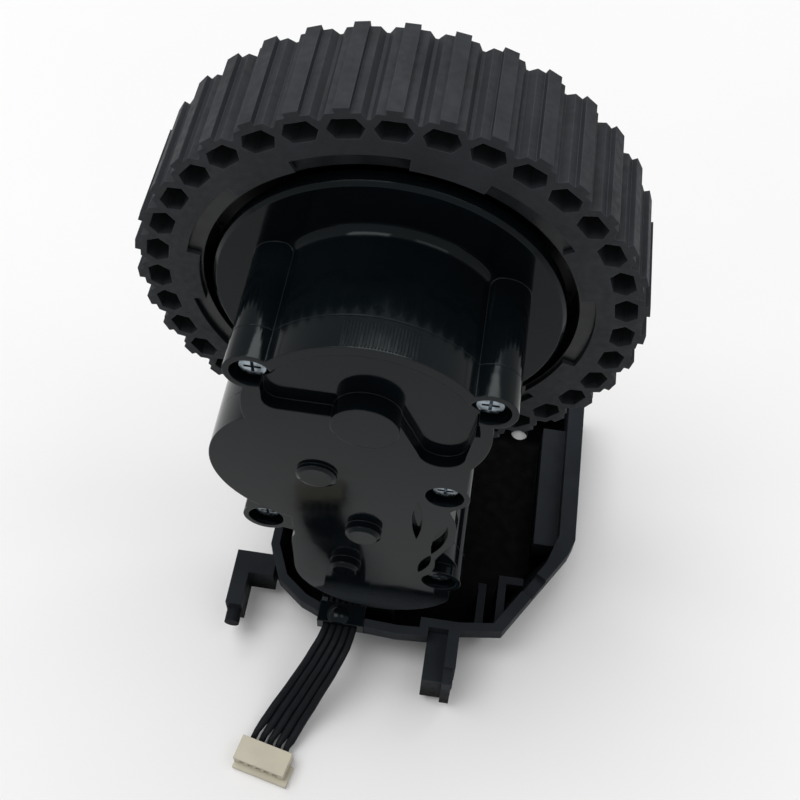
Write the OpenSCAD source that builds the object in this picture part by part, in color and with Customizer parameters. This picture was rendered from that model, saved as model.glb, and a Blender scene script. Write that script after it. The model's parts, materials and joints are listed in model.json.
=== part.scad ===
// Sprung drive wheel of a floor cleaning robot: a lugged tyre on a geared arm
// that swings on a steel pin in an open tray. Lengths are in millimetres.
// The origin is on the table, straight below the wheel's axis, +Z up.
// The wheel's axis runs along Y, and the gearbox cover faces -Y.

/* [Wheel] */
// Diameter over the ribs of the tread
tyre_d = 70; // [69:0.5:71]
// Width of the tyre
tyre_w = 15; // [14:0.5:18]
// Number of lugs round the tread
lug_n = 36; // [30:1:38]
// Height of the thin rib on each lug
rib_h = 0.75; // [0.4:0.05:1]
// Width of the thin rib on each lug
rib_w = 1.9; // [1.4:0.1:2.4]
// Width of the groove between two lugs, at the top
groove_w = 1.8; // [1.2:0.1:2.2]
// Depth of the groove between two lugs
groove_depth = 0.9; // [0.5:0.1:1.1]
// Width of each six-sided hole, from point to point
hex_w = 4.7; // [4:0.1:4.9]
// Height of each six-sided hole, along the radius
hex_h = 3; // [2:0.1:3.4]
// Rubber between a six-sided hole and the shoulder of its lug
hex_cover = 0.85; // [0.6:0.05:1.2]
// Rubber from the top of the ribs to the rim
tyre_wall = 7; // [6.5:0.25:7.5]
// Number of tabs that hold the tyre over the front of the rim
tab_n = 7; // [5:1:8]
// Angle that one tab covers
tab_angle = 20.5; // [14:0.5:26]
// Depth of the tabs, along the axis
tab_depth = 0.7; // [0.5:0.1:1.5]
// Reach of the tabs towards the axis
tab_reach = 1.8; // [1:0.1:2]
// Wall of the rim
rim_wall = 2.2; // [2:0.1:2.6]
// Thickness of the rim's web
web_t = 2; // [1.5:0.25:3]
// Recess of the web behind the tyre's outer face
web_recess = 4; // [3:0.25:5]
// Width of the ribs on the web
web_rib_w = 1.5; // [1:0.1:2.5]
// Number of ribs on the web
web_rib_n = 9; // [5:1:12]
// Outer radius of the rim's hub
hub_r = 5.8; // [5.2:0.2:7]

/* [Axle] */
// Radius of the wheel axle
axle_r = 3; // [2.8:0.1:3.1]
// Radius of the axle's front journal
journal_r = 2.4; // [2:0.1:2.4]
// Depth of the flats that drive the rim and the output gear
flat_depth = 0.6; // [0.4:0.1:0.8]
// Wall of the axle bushes
bush_wall = 1.5; // [1.2:0.1:1.8]
// Radial running clearance of shafts and pins
run_gap = 0.05; // [0.02:0.01:0.08]

/* [Gearbox] */
// Gap between the rim and the fixed disc that closes the wheel
disc_gap = 1.6; // [1:0.1:2]
// How far the disc stands in front of the tyre
disc_front = 0.8; // [0.5:0.1:1.2]
// Thickness of the disc
disc_t = 2.2; // [1.8:0.1:2.6]
// Outer radius of the round housing behind the cover
drum_r = 16.3; // [16:0.1:16.8]
// Fillet between the round housing and the disc
drum_fillet = 1.5; // [0.5:0.25:2]
// Outer wall of the gearbox
shell_wall = 1.5; // [1.3:0.1:1.7]
// Clearance between the biggest gears and the wall
gear_room = 0.8; // [0.6:0.1:1.1]
// Back face of the lower housing, in front of the tyre
back_s = 1; // [0.6:0.1:1.2]
// Seam between the housing and the cover
seam_s = 14.4; // [13.8:0.1:14.8]
// Front face of the raised plate over the gears
plate_s = 19.2; // [19:0.1:20]
// Drop from the raised plate to the sunk plate round the wheel's axis
sunk_drop = 1.8; // [1.4:0.1:2.2]
// Radius of the boss over the wheel's axis
boss_r = 4.5; // [4.2:0.1:5.2]
// Height of the boss above the raised plate
boss_h = 0.9; // [0.4:0.1:1.2]
// Depth of the pockets beside the right edge of the cover
pocket_depth = 1.1; // [0.6:0.1:1.3]
// Outer radius of the screw bosses
screw_boss_r = 3.6; // [3.4:0.1:4]
// Number of grip ribs on the top of the cover
grip_n = 23; // [10:1:26]

/* [Gears] */
// Module of the motor stage
m1 = 0.4; // [0.4:0.01:0.42]
// Teeth of the motor pinion
z1_pinion = 9; // [9:1:10]
// Teeth of the first gear
z1_gear = 22; // [20:1:23]
// Module of the second stage
m2 = 0.5; // [0.48:0.01:0.5]
// Teeth of the first gear's pinion
z2_pinion = 10; // [10:1:11]
// Teeth of the second gear
z2_gear = 42; // [40:1:43]
// Module of the third stage
m3 = 0.5; // [0.48:0.01:0.5]
// Teeth of the second gear's pinion
z3_pinion = 16; // [15:1:17]
// Teeth of the third gear
z3_gear = 50; // [48:1:51]
// Module of the last stage
m4 = 0.8; // [0.78:0.01:0.8]
// Teeth of the third gear's pinion
z4_pinion = 11; // [11:1:12]
// Teeth of the output gear
z4_gear = 30; // [29:1:30]
// Play between the flanks of two teeth
backlash = 0.16; // [0.1:0.01:0.2]
// Radius of the gear pins
pin_r = 1; // [0.8:0.05:1.1]
// Radius of the bosses that hold the gear pins
pin_boss_r = 2.2; // [1.8:0.1:2.4]
// Space between two levels of gears
level_gap = 0.7; // [0.5:0.05:0.8]
// Axial play of a gear on its pin
gear_play = 0.3; // [0.2:0.05:0.4]

/* [Motor] */
// Width of the motor's can over its round sides
motor_d = 24.2; // [23:0.1:24.4]
// Height of the motor's can over its flat sides
motor_h = 18.3; // [17:0.1:18.6]
// Length of the motor with its end cap
motor_len = 26.9; // [24:0.1:27.2]
// Length of the plastic end cap
motor_cap_len = 3.4; // [2.5:0.1:4]
// Radius of the motor's shaft
shaft_r = 1; // [0.9:0.05:1.1]
// Distance between the motor's two fixing screws
motor_screw_spacing = 12; // [10.5:0.5:13]
// Radius of the magnet on the shaft's rear end
magnet_r = 3.5; // [2.5:0.1:5]

/* [Tray] */
// Height of the gearbox's foot above the table
foot_z = 11.95; // [11.8:0.05:13]
// Height of the tray's rim
rim_z = 12.8; // [11.5:0.1:13.2]
// Thickness of the tray's floor
floor_t = 2; // [1.5:0.1:2.2]
// Thickness of the front, left and back walls
wall_t = 1.5; // [1.2:0.1:1.8]
// Height of the upright lip round the front of the tray
lip_h = 3; // [2:0.5:5]
// Lean of the front walls below that lip, from upright
lean = 22; // [10:1:24]
// Thickness of the sloping front corner
corner_t = 2; // [1.5:0.1:2.4]
// Thickness of the right wall
side_t = 2.9; // [2.4:0.1:3.2]
// Width of the ledge along the right wall
ledge_w = 4.2; // [3:0.1:5]
// Drop of the ledge below the rim
ledge_drop = 3.3; // [2:0.1:5]
// Radius of the pivot pin
pivot_r = 1.5; // [1.3:0.05:1.6]
// Height of the pivot pin above the table
pivot_z = 6.2; // [6:0.1:6.4]
// Outer radius of the pivot eyes
eye_r = 3.2; // [2.8:0.1:3.4]
// Radius of the bore through the front lug
lug_bore_r = 1.6; // [1.2:0.05:1.8]
// Radius of the peg on the end of the left hook
peg_r = 1.3; // [1:0.05:1.5]
// Radius of the two screw holes in the floor
floor_hole_r = 1.7; // [1.3:0.05:2.2]
// Distance between the two screw holes in the floor
floor_hole_spacing = 36; // [30:0.5:38]

/* [Cable] */
// Diameter of one wire
wire_d = 1.1; // [0.9:0.05:1.2]
// Pitch of the contacts in the connector
contact_pitch = 1.5; // [1.4:0.05:1.55]
// Number of wires
wire_n = 5; // [4:1:5]
// Height of the connector
connector_h = 3.5; // [3.2:0.1:4]
// Length of the connector
connector_l = 5; // [4.5:0.1:6]

/* [Hidden] */
$fn = 96;
eps = 0.01;

// Tyre and rim, with s measured from the tyre's front face towards the cover
tyre_r = tyre_d / 2;
seat_r = tyre_r - tyre_wall;
shoulder_r = tyre_r - rib_h;
hex_r = shoulder_r - hex_cover - hex_h / 2;
rim_in_r = seat_r - rim_wall;
disc_r = rim_in_r - disc_gap;
web_back_s = web_recess - tyre_w;
hub_front_s = -3.6;
rear_bush_s = -3;
tab_start = 75.5;
hub_screw_r = 3;
hub_screw_h = 1.3;
hub_thread_r = 1.2;
web_rib_h = web_recess - 1;

// Axle stations
disc_back_s = disc_front - disc_t;
floor_s = back_s + shell_wall;
sunk_s = plate_s - sunk_drop;
bush_collar_r = axle_r + run_gap + bush_wall + 2;
front_bush_s = 13.6;
front_bush_end_s = plate_s - 1.3;

// Gear levels: where each toothed ring starts, and how wide it is
low_s = floor_s + 0.6;
low_w = 4;
mid_s = low_s + low_w + level_gap;
mid_w = 3.2;
top_s = mid_s + mid_w + level_gap;
top_w = 3.2;

// Gear axes, found from the wheel's axis down to the motor
function reach(from, dist, angle) = from + dist * [cos(angle), sin(angle)];
angle_43 = -114.6;
angle_32 = -66.2;
angle_21 = -103;
angle_10 = -37.7;
third_at = reach([0, 0], m4 * (z4_pinion + z4_gear) / 2, angle_43);
second_at = reach(third_at, m3 * (z3_pinion + z3_gear) / 2, angle_32);
first_at = reach(second_at, m2 * (z2_pinion + z2_gear) / 2, angle_21);
motor_at = reach(first_at, m1 * (z1_pinion + z1_gear) / 2, angle_10);
foot_r = motor_d / 2 + 1.3;
axle_z = foot_z + foot_r - motor_at[1];

// Housing outline, as radii of its round parts
third_r = m3 * z3_gear / 2 + 0.9 * m3 + gear_room + shell_wall;
second_r = m2 * z2_gear / 2 + 0.9 * m2 + gear_room + shell_wall;
right_x = 14.2;
waist_x = 11.6;

// Cover screws: place and the face that each boss ends at
screw_places = [
    [-14.3, 7.8, plate_s], [15.3, 6.5, plate_s], [11.2, -16.7, plate_s],
    [-15.8, -34.5, sunk_s], [12, -45.2, plate_s]
];
head_r = 1.75;
head_h = 1.3;
head_sink = 1.1;
thread_r = 1;
screw_len = 9;
recess_r = 2.75;
notch_w = 1.2;

// Tray outline seen from above, front at -Y, starting at the right rear corner
lean_overrun = 4.9;
lug_edge = 9;
left_x = -18.2;
back_y = 32;
right_side_x = 35.2;
tray_corners = [
    [right_side_x, back_y], [left_x, back_y], [left_x, -10.5], [-15.4, -16.8], [-11, -20.2],
    [-6, -22.3], [0, -23.2], [6, -23.5], [11.4, -23.2], [11.4, -21.4], [16.6, -21.4],
    [23.9, -20.4], [34.2, -4.1], [right_side_x, -1.2]
];
tray_walls = [
    wall_t, wall_t, wall_t, wall_t, wall_t, wall_t, wall_t, wall_t, wall_t, wall_t, wall_t,
    corner_t, side_t, side_t
];

// Pivot, spring and stop
pivot_x = 1.6;
rear_eye_s = -19.5;
front_eye_s = 9.4;
eye_w = 4;
front_post_s = 14;
rear_post_s = -24;
post_w = 3.6;
pin_front_s = front_post_s + post_w - 0.2;
pin_rear_s = rear_post_s - 1.6;
spring_wire_r = 0.5;
spring_coil_r = 3;
spring_turns = 4.5;
spring_s = 2.4;
spring_pitch = 1.2;
spring_gap = 0.05;
spring_leg = 9;
pad_h = 2;
heel_gap = 0.25;

// Shallow step in the rim of the sloping corner
step_h = 1.1;

// Lug, hook and clip on the tray
lug_x = [11.4, 14.9, 16.8];
lug_end_y = -30.6;
lug_top = 10;
hook_z = [2.6, 9];
clip_x = [-7.6, 0.4];
clip_drop = 2.6;
clip_roof_w = 3.7;
clip_top = rim_z + 0.3;
clip_gap = 0.15;
channel_y = -17;
channel_top = 11.6;
dome_r = 2.2;
dome_h = 1;

// Cable: its middle line from the channel under the gearbox to the connector
cable_route = [
    [-3.6, -17.4, 11.1], [-3.6, -19.4, 11.1], [-3.6, -21.4, 11.3], [-3.6, -23.4, 11.6],
    [-3.8, -24.9, 11.8], [-4.1, -26.4, 11.8], [-4.6, -27.8, 11.5], [-5.2, -29.1, 10.9],
    [-5.8, -30.3, 10], [-6.5, -31.4, 8.9], [-7.2, -32.4, 7.7], [-7.9, -33.4, 6.5],
    [-8.6, -34.5, 5.4], [-9.4, -35.7, 4.3], [-10.2, -37, 3.4], [-10.9, -38.4, 2.7],
    [-11.6, -39.8, 2.1], [-12.3, -41.2, 1.75], [-12.6, -42.6, 1.75]
];
cable_end = cable_route[len(cable_route) - 1];
cable_aim = cable_end - cable_route[len(cable_route) - 2];
connector_turn = atan2(cable_aim[0], -cable_aim[1]);
connector_wall = 1.5;
connector_w = (wire_n - 1) * contact_pitch + 2 * connector_wall;
lip_front = 0.9;
lip_t = 1.2;
lip_step = 0.7;
opening_z = 1.7;
opening_h = 1.1;

// Places children by their distance from the wheel's axis: x, height, and s towards -Y
module facing() {
    translate([0, 0, axle_z]) rotate([90, 0, 0]) children();
}

module facing_at(place, s) {
    facing() translate([place[0], place[1], s]) children();
}

// Inner corners of a wall that follows a closed run of points, going anticlockwise
function left_of(a, b) = let (d = (b - a) / norm(b - a)) [-d[1], d[0]];
function meet(p, d, q, e) = p + d * (cross(q - p, e) / cross(d, e));
function inset(pts, walls) = [
    for (i = [0:len(pts) - 1])
        let (a = pts[(i + len(pts) - 1) % len(pts)], b = pts[i], c = pts[(i + 1) % len(pts)])
        let (wa = walls[(i + len(pts) - 1) % len(pts)], wb = walls[i])
        meet(a + wa * left_of(a, b), b - a, b + wb * left_of(b, c), c - b)
];

// Involute tooth: half the angle it spans at a radius
function inv(angle) = tan(angle) * 180 / PI - angle;
function half_tooth(z, m, r) =
    let (pitch_r = z * m / 2, base_r = pitch_r * cos(20))
    90 / z - backlash / 2 / pitch_r * 90 / PI
        + inv(20) - (r > base_r ? inv(acos(base_r / r)) : 0);
function tooth_radii(z, m) =
    let (pitch_r = z * m / 2, root = pitch_r - 1.2 * m, tip = pitch_r + 0.9 * m)
    [root, max(root + 0.1, pitch_r * cos(20)), pitch_r, tip];
function gear_points(z, m) = [
    for (i = [0:z - 1], side = [-1, 1], k = [0:3])
        let (r = tooth_radii(z, m)[side < 0 ? k : 3 - k])
        let (angle = i * 360 / z + side * half_tooth(z, m, r))
        r * [cos(angle), sin(angle)]
];

module gear_ring(z, m, width, phase) {
    rotate(phase) linear_extrude(width) polygon(gear_points(z, m));
}

module screw(len) {
    difference() {
        translate([0, 0, -head_h]) cylinder(h = head_h, r = head_r, $fn = 48);
        for (turn = [0, 90])
            rotate(turn) translate([-1.1, -0.2, -0.7]) cube([2.2, 0.4, 1]);
    }
    translate([0, 0, -head_h - len]) cylinder(h = len, r = thread_r, $fn = 48);
}

// One lug's outline, from the middle of its groove to the next
function lug_points(i) =
    let (mid = 90 + i * 360 / lug_n, half = 180 / lug_n)
    let (shoulder = half - groove_w / 2 / shoulder_r * 180 / PI)
    let (floor_half = half - 0.2 / shoulder_r * 180 / PI, rib = rib_w / 2 / shoulder_r * 180 / PI)
    [
        for (p = [
            [-floor_half, shoulder_r - groove_depth], [-shoulder, shoulder_r],
            [-rib, shoulder_r], [-rib, tyre_r], [rib, tyre_r], [rib, shoulder_r],
            [shoulder, shoulder_r], [floor_half, shoulder_r - groove_depth]
        ]) p[1] * [cos(mid + p[0]), sin(mid + p[0])]
    ];

module tyre() {
    color([0.13, 0.13, 0.14]) facing() {
        difference() {
            translate([0, 0, -tyre_w])
                linear_extrude(tyre_w) polygon([for (i = [0:lug_n - 1]) each lug_points(i)]);
            translate([0, 0, -tyre_w - 1]) cylinder(h = tyre_w + 2, r = seat_r);
            for (i = [0:lug_n - 1])
                rotate(i * 360 / lug_n) translate([0, hex_r, -tyre_w - 1])
                    linear_extrude(tyre_w + 2) polygon([
                        [-hex_w / 2, 0], [-hex_w * 0.3, hex_h / 2], [hex_w * 0.3, hex_h / 2],
                        [hex_w / 2, 0], [hex_w * 0.3, -hex_h / 2], [-hex_w * 0.3, -hex_h / 2]
                    ]);
        }
        for (i = [0:tab_n - 1])
            rotate(tab_start - tab_angle / 2 + i * 360 / tab_n)
                translate([0, 0, -tab_depth])
                    rotate_extrude(angle = tab_angle)
                        translate([seat_r - tab_reach, 0]) square([tab_reach + 0.3, tab_depth]);
    }
}

// Round section with one flat, as driven by the axle
module flat_round(r) {
    difference() {
        circle(r = r, $fn = 64);
        translate([-r - 1, axle_r - flat_depth + (r - axle_r)]) square([2 * r + 2, 2 * r]);
    }
}

module wheel_rim() {
    color([0.16, 0.16, 0.17]) facing() difference() {
        union() {
            difference() {
                translate([0, 0, -tyre_w]) cylinder(h = tyre_w - tab_depth, r = seat_r);
                translate([0, 0, web_back_s + web_t]) cylinder(h = tyre_w, r = rim_in_r);
                translate([0, 0, -tyre_w - 1]) cylinder(h = web_recess + 1, r = rim_in_r);
            }
            translate([0, 0, web_back_s - 2]) cylinder(h = hub_front_s - web_back_s + 2, r = hub_r);
            for (i = [0:web_rib_n - 1])
                rotate(i * 360 / web_rib_n)
                    translate([hub_r - 0.5, -web_rib_w / 2, web_back_s - web_rib_h])
                        cube([rim_in_r - hub_r + 1, web_rib_w, web_rib_h + eps]);
        }
        translate([0, 0, web_back_s - 4]) cylinder(h = 4, r = hub_screw_r + 0.5, $fn = 64);
        translate([0, 0, web_back_s + 1]) linear_extrude(tyre_w) flat_round(axle_r + 0.02);
        translate([0, 0, web_back_s - 1]) cylinder(h = 3, r = hub_thread_r + 0.1, $fn = 48);
    }
}

module wheel_axle() {
    color([0.72, 0.73, 0.75]) facing() difference() {
        union() {
            translate([0, 0, web_back_s + 1 + 0.02])
                linear_extrude(hub_front_s - web_back_s - 1) flat_round(axle_r);
            translate([0, 0, hub_front_s]) cylinder(h = low_s - hub_front_s, r = axle_r, $fn = 64);
            translate([0, 0, low_s - eps]) linear_extrude(low_w + eps) flat_round(axle_r);
            translate([0, 0, low_s])
                cylinder(h = front_bush_end_s - gear_play - low_s, r = journal_r, $fn = 64);
        }
        translate([0, 0, web_back_s]) cylinder(h = 8, r = hub_thread_r, $fn = 48);
    }
}

module hub_screw() {
    color([0.75, 0.76, 0.78]) facing() translate([0, 0, web_back_s]) rotate([180, 0, 0]) {
        difference() {
            cylinder(h = hub_screw_h, r = hub_screw_r, $fn = 48);
            for (turn = [0, 90])
                rotate(turn) translate([-1.6, -0.3, 0.6]) cube([3.2, 0.6, 1]);
        }
        translate([0, 0, -6.5]) cylinder(h = 6.5, r = hub_thread_r, $fn = 48);
    }
}

module rear_bush() {
    color([0.72, 0.55, 0.33]) facing() translate([0, 0, rear_bush_s]) difference() {
        cylinder(h = low_s - gear_play - rear_bush_s, r = axle_r + run_gap + bush_wall, $fn = 64);
        translate([0, 0, -1]) cylinder(h = 10, r = axle_r + run_gap, $fn = 64);
    }
}

module front_bush() {
    color([0.72, 0.55, 0.33]) facing() translate([0, 0, front_bush_s]) difference() {
        cylinder(h = front_bush_end_s - front_bush_s, r = journal_r + run_gap + bush_wall, $fn = 64);
        translate([0, 0, -1]) cylinder(h = 10, r = journal_r + run_gap, $fn = 64);
    }
}

module output_gear() {
    color([0.86, 0.86, 0.82]) facing() translate([0, 0, low_s]) difference() {
        gear_ring(z4_gear, m4, low_w, angle_43);
        translate([0, 0, -1]) linear_extrude(low_w + 2) flat_round(axle_r + 0.02);
        for (i = [0:5])
            rotate(30 + i * 60) translate([7.2, 0, -1]) cylinder(h = low_w + 2, r = 1.6, $fn = 32);
    }
}

// Gear and pinion in one piece, with a bore that runs on its pin
module compound(z_big, m_big, s_big, w_big, phase_big, z_small, m_small, s_small, w_small, phase_small) {
    start = min(s_big, s_small);
    difference() {
        union() {
            translate([0, 0, s_big]) gear_ring(z_big, m_big, w_big, phase_big);
            translate([0, 0, s_small]) gear_ring(z_small, m_small, w_small, phase_small);
            translate([0, 0, start])
                cylinder(
                    h = max(s_big + w_big, s_small + w_small) - start,
                    r = z_small * m_small / 2 - 1.2 * m_small, $fn = 32
                );
        }
        translate([0, 0, start - 1]) cylinder(h = 30, r = pin_r + run_gap, $fn = 48);
    }
}

module third_gear() {
    color([0.86, 0.86, 0.82]) facing_at(third_at, 0)
        compound(
            z3_gear, m3, mid_s, mid_w, angle_32,
            z4_pinion, m4, low_s, low_w, angle_43 + 180 + 180 / z4_pinion
        );
}

module second_gear() {
    color([0.86, 0.86, 0.82]) facing_at(second_at, 0)
        compound(
            z2_gear, m2, top_s, top_w, angle_21,
            z3_pinion, m3, mid_s, mid_w, angle_32 + 180 + 180 / z3_pinion
        );
}

module first_gear() {
    color([0.86, 0.86, 0.82]) facing_at(first_at, 0)
        compound(
            z1_gear, m1, mid_s, mid_w, angle_10,
            z2_pinion, m2, top_s, top_w, angle_21 + 180 + 180 / z2_pinion
        );
}

module gear_pins() {
    color([0.72, 0.73, 0.75]) for (g = gear_seats)
        facing_at(g[0], floor_s - 0.8) cylinder(h = plate_s - floor_s, r = pin_r, $fn = 48);
}

// Gears on pins: the axis, and where the gear and its pinion start and end together
gear_seats = [
    [third_at, low_s, mid_s + mid_w],
    [second_at, mid_s, top_s + top_w],
    [first_at, mid_s, top_s + top_w]
];

// Sections of the arm's housing, drawn smaller by an inset
module drum_2d(less) {
    circle(r = drum_r - less);
}

module lobes_2d(less) {
    translate(third_at) circle(r = third_r - less);
    translate(second_at) circle(r = second_r - less);
    translate(motor_at) circle(r = foot_r - less);
    polygon([
        [-2, 0], [right_x - less, 0], [right_x - less, -18], [right_x - less - 1.9, -21],
        [right_x - less - 1.9, -26], [-2, -26]
    ]);
    translate([-waist_x + less, motor_at[1]])
        square([2 * (waist_x - less), second_at[1] - motor_at[1]]);
}

module bosses_2d(r) {
    for (p = screw_places) translate([p[0], p[1]]) circle(r = r, $fn = 64);
}

module lobe_web_2d() {
    polygon([
        [-17.2, -24], [-18.9, -32], [-15.5, -36.6], [-10, -38], [-8, -30], [-10, -24]
    ]);
}

module arm_outline_2d() {
    drum_2d(0);
    lobes_2d(0);
    bosses_2d(screw_boss_r);
    lobe_web_2d();
}

module arm_inside_2d() {
    difference() {
        union() {
            drum_2d(shell_wall);
            lobes_2d(shell_wall);
        }
        bosses_2d(screw_boss_r - 0.4);
    }
}

// Part of the cover that stays sunk round the wheel's axis: its lower edge is level on
// the left, with a round corner, and swings down into a round bay on the right
sunk_edge = 0.5;
sunk_left = -13.4;
sunk_corner = 2;
bay_at = [10.1, -5.1];
bay_r = 3.2;
bay_left = 202;
bay_right = -7.5;
bay_h = 8;
module sunk_2d() {
    intersection() {
        circle(r = drum_r - shell_wall - 0.1);
        union() {
            translate([sunk_left + sunk_corner, sunk_edge]) square([40, 20]);
            translate([sunk_left, sunk_edge + sunk_corner]) square([40, 20]);
            translate([sunk_left + sunk_corner, sunk_edge + sunk_corner]) circle(r = sunk_corner, $fn = 64);
            bay_2d(0);
        }
    }
}

module bay_2d(grow) {
    side_r = bay_r + grow - 0.05;
    left = reach(bay_at, side_r, bay_left);
    right = reach(bay_at, side_r, bay_right);
    translate(bay_at) circle(r = bay_r + grow, $fn = 64);
    polygon([
        left, bay_at, right, reach(right, bay_h, bay_right + 90), reach(left, bay_h, bay_left - 90)
    ]);
}

// Pointed pocket between two points, as wide as stated at its middle
module leaf_2d(from, to, width) {
    long = norm(to - from);
    r = (long * long / width + width) / 4;
    translate((from + to) / 2) rotate(atan2(to[1] - from[1], to[0] - from[0])) intersection() {
        translate([0, r - width / 2]) circle(r = r);
        translate([0, width / 2 - r]) circle(r = r);
    }
}

module cover_pockets() {
    translate([0, 0, plate_s - pocket_depth]) linear_extrude(pocket_depth + 1) {
        leaf_2d([7.5, -19], [7.8, -31], 1.5);
        leaf_2d([12.2, -25.6], [10.3, -35.4], 1.7);
        leaf_2d([10.2, -35.9], [8.6, -42.6], 1.4);
    }
}

// Raised plate over the gears
module raised_2d() {
    difference() {
        union() {
            translate(third_at) circle(r = third_r);
            drum_2d(0);
            polygon([
                [-11.2, -20], [right_x, 0], [right_x, -18], [right_x - 2, -21],
                [right_x - 1.1, -23.5], [right_x - 0.6, -26], [right_x - 0.6, -29],
                [right_x - 1.2, -32], [right_x - 2.4, -35], [right_x - 3.2, -37.5],
                [right_x - 3.1, -40], [10, motor_at[1]], [-waist_x, motor_at[1]],
                [-waist_x, -38], [-11.2, -33]
            ]);
            intersection() {
                translate(motor_at) circle(r = foot_r);
                translate([-12, -62]) square([26, 20]);
            }
            for (p = screw_places)
                if (p[2] == plate_s) translate([p[0], p[1]]) circle(r = screw_boss_r, $fn = 64);
        }
        sunk_2d();
        for (p = screw_places)
            if (p[2] == sunk_s) translate([p[0], p[1]]) circle(r = screw_boss_r + notch_w, $fn = 64);
    }
}

module screw_cuts(depth) {
    for (p = screw_places) {
        translate([p[0], p[1], p[2] - head_sink - head_h]) cylinder(h = 10, r = recess_r, $fn = 64);
        translate([p[0], p[1], p[2] - depth]) cylinder(h = depth, r = thread_r + 0.1, $fn = 48);
    }
}

module bump(at, r, h) {
    translate([at[0], at[1], plate_s - 0.3]) cylinder(h = 0.3 + h * 0.7, r = r);
    translate([at[0], at[1], plate_s + h * 0.7 - eps]) cylinder(h = h * 0.3 + eps, r1 = r, r2 = r * 0.8);
}

// Room inside the raised plate
module raised_room_2d() {
    difference() {
        lobes_2d(shell_wall + 0.2);
        translate([-20, sunk_edge - shell_wall]) square([40, 30]);
        bay_2d(shell_wall);
        translate([-40, -70]) square([40 - 11.2 + shell_wall, 44]);
        for (p = screw_places)
            translate([p[0], p[1]])
                circle(r = screw_boss_r + (p[2] == sunk_s ? notch_w + shell_wall : 0), $fn = 64);
        translate([6 - shell_wall, -44]) square([20, 27]);
    }
}

module grip_ribs() {
    for (i = [0:grip_n - 1])
        rotate(69 + i * 1.45) translate([drum_r - 0.3, -0.1, seam_s + 0.9])
            cube([0.45, 0.2, plate_s - seam_s - 1.2]);
}

module gear_cover() {
    color([0.07, 0.07, 0.08]) facing() difference() {
        union() {
            difference() {
                union() {
                    translate([0, 0, seam_s]) linear_extrude(sunk_s - seam_s) arm_outline_2d();
                    translate([0, 0, sunk_s - eps]) linear_extrude(plate_s - sunk_s + eps) raised_2d();
                }
                translate([0, 0, seam_s - 1])
                    linear_extrude(sunk_s - shell_wall - seam_s + 1) arm_inside_2d();
                translate([0, 0, seam_s - 2])
                    linear_extrude(plate_s - shell_wall - seam_s + 2) raised_room_2d();
            }
            translate([0, 0, sunk_s - 1]) cylinder(h = plate_s + boss_h - sunk_s + 1, r = boss_r);
            translate([0, 0, front_bush_s - 0.2])
                cylinder(h = sunk_s - front_bush_s, r = journal_r + run_gap + 2 * bush_wall, $fn = 64);
            for (g = gear_seats)
                translate([g[0][0], g[0][1], g[2] + gear_play])
                    cylinder(h = plate_s - 0.5 - g[2] - gear_play, r = pin_boss_r, $fn = 48);
            bump(third_at, 2.9, 0.8);
            bump(second_at, 2.7, 1.6);
            bump(first_at, 2.4, 1.8);
            grip_ribs();
        }
        cover_pockets();
        translate([0, 0, front_bush_s - 1])
            cylinder(h = front_bush_end_s - front_bush_s + 1, r = journal_r + run_gap + bush_wall, $fn = 64);
        for (g = gear_seats)
            translate([g[0][0], g[0][1], g[2]])
                cylinder(h = plate_s - 0.7 - g[2], r = pin_r + 0.02, $fn = 48);
        screw_cuts(12);
    }
}

module inner_shell() {
    color([0.07, 0.07, 0.08]) {
        facing() difference() {
            union() {
                translate([0, 0, disc_back_s]) cylinder(h = disc_t - 0.5, r = disc_r);
                translate([0, 0, disc_front - 0.5]) cylinder(h = 0.5, r1 = disc_r, r2 = disc_r - 0.5);
                translate([0, 0, rear_bush_s]) cylinder(h = floor_s - rear_bush_s, r = bush_collar_r);
                translate([0, 0, disc_front - eps]) rotate_extrude() difference() {
                    square([drum_r + drum_fillet, drum_fillet]);
                    translate([drum_r + drum_fillet, drum_fillet]) circle(r = drum_fillet, $fn = 48);
                }
                translate([0, 0, disc_front - eps])
                    linear_extrude(seam_s - disc_front + eps) intersection() {
                        arm_outline_2d();
                        circle(r = disc_r);
                    }
                translate([0, 0, back_s]) linear_extrude(seam_s - back_s) arm_outline_2d();
            }
            difference() {
                translate([0, 0, floor_s]) linear_extrude(20) arm_inside_2d();
                for (g = gear_seats)
                    translate([g[0][0], g[0][1], floor_s - 1])
                        cylinder(h = g[1] - gear_play - floor_s + 1, r = pin_boss_r, $fn = 48);
            }
            translate([0, 0, rear_bush_s - 1])
                cylinder(h = 10, r = axle_r + run_gap + bush_wall, $fn = 64);
            for (g = gear_seats)
                translate([g[0][0], g[0][1], floor_s - 0.9]) cylinder(h = 8, r = pin_r + 0.02, $fn = 48);
            translate([motor_at[0], motor_at[1], back_s - 1]) cylinder(h = 5, r = 3.05, $fn = 48);
            for (side = [-1, 1])
                translate([motor_at[0], motor_at[1] + side * motor_screw_spacing / 2, back_s - 1])
                    cylinder(h = 5, r = thread_r + 0.1, $fn = 48);
            screw_cuts(15);
        }
        motor_cradle();
        front_eye();
    }
}

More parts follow.
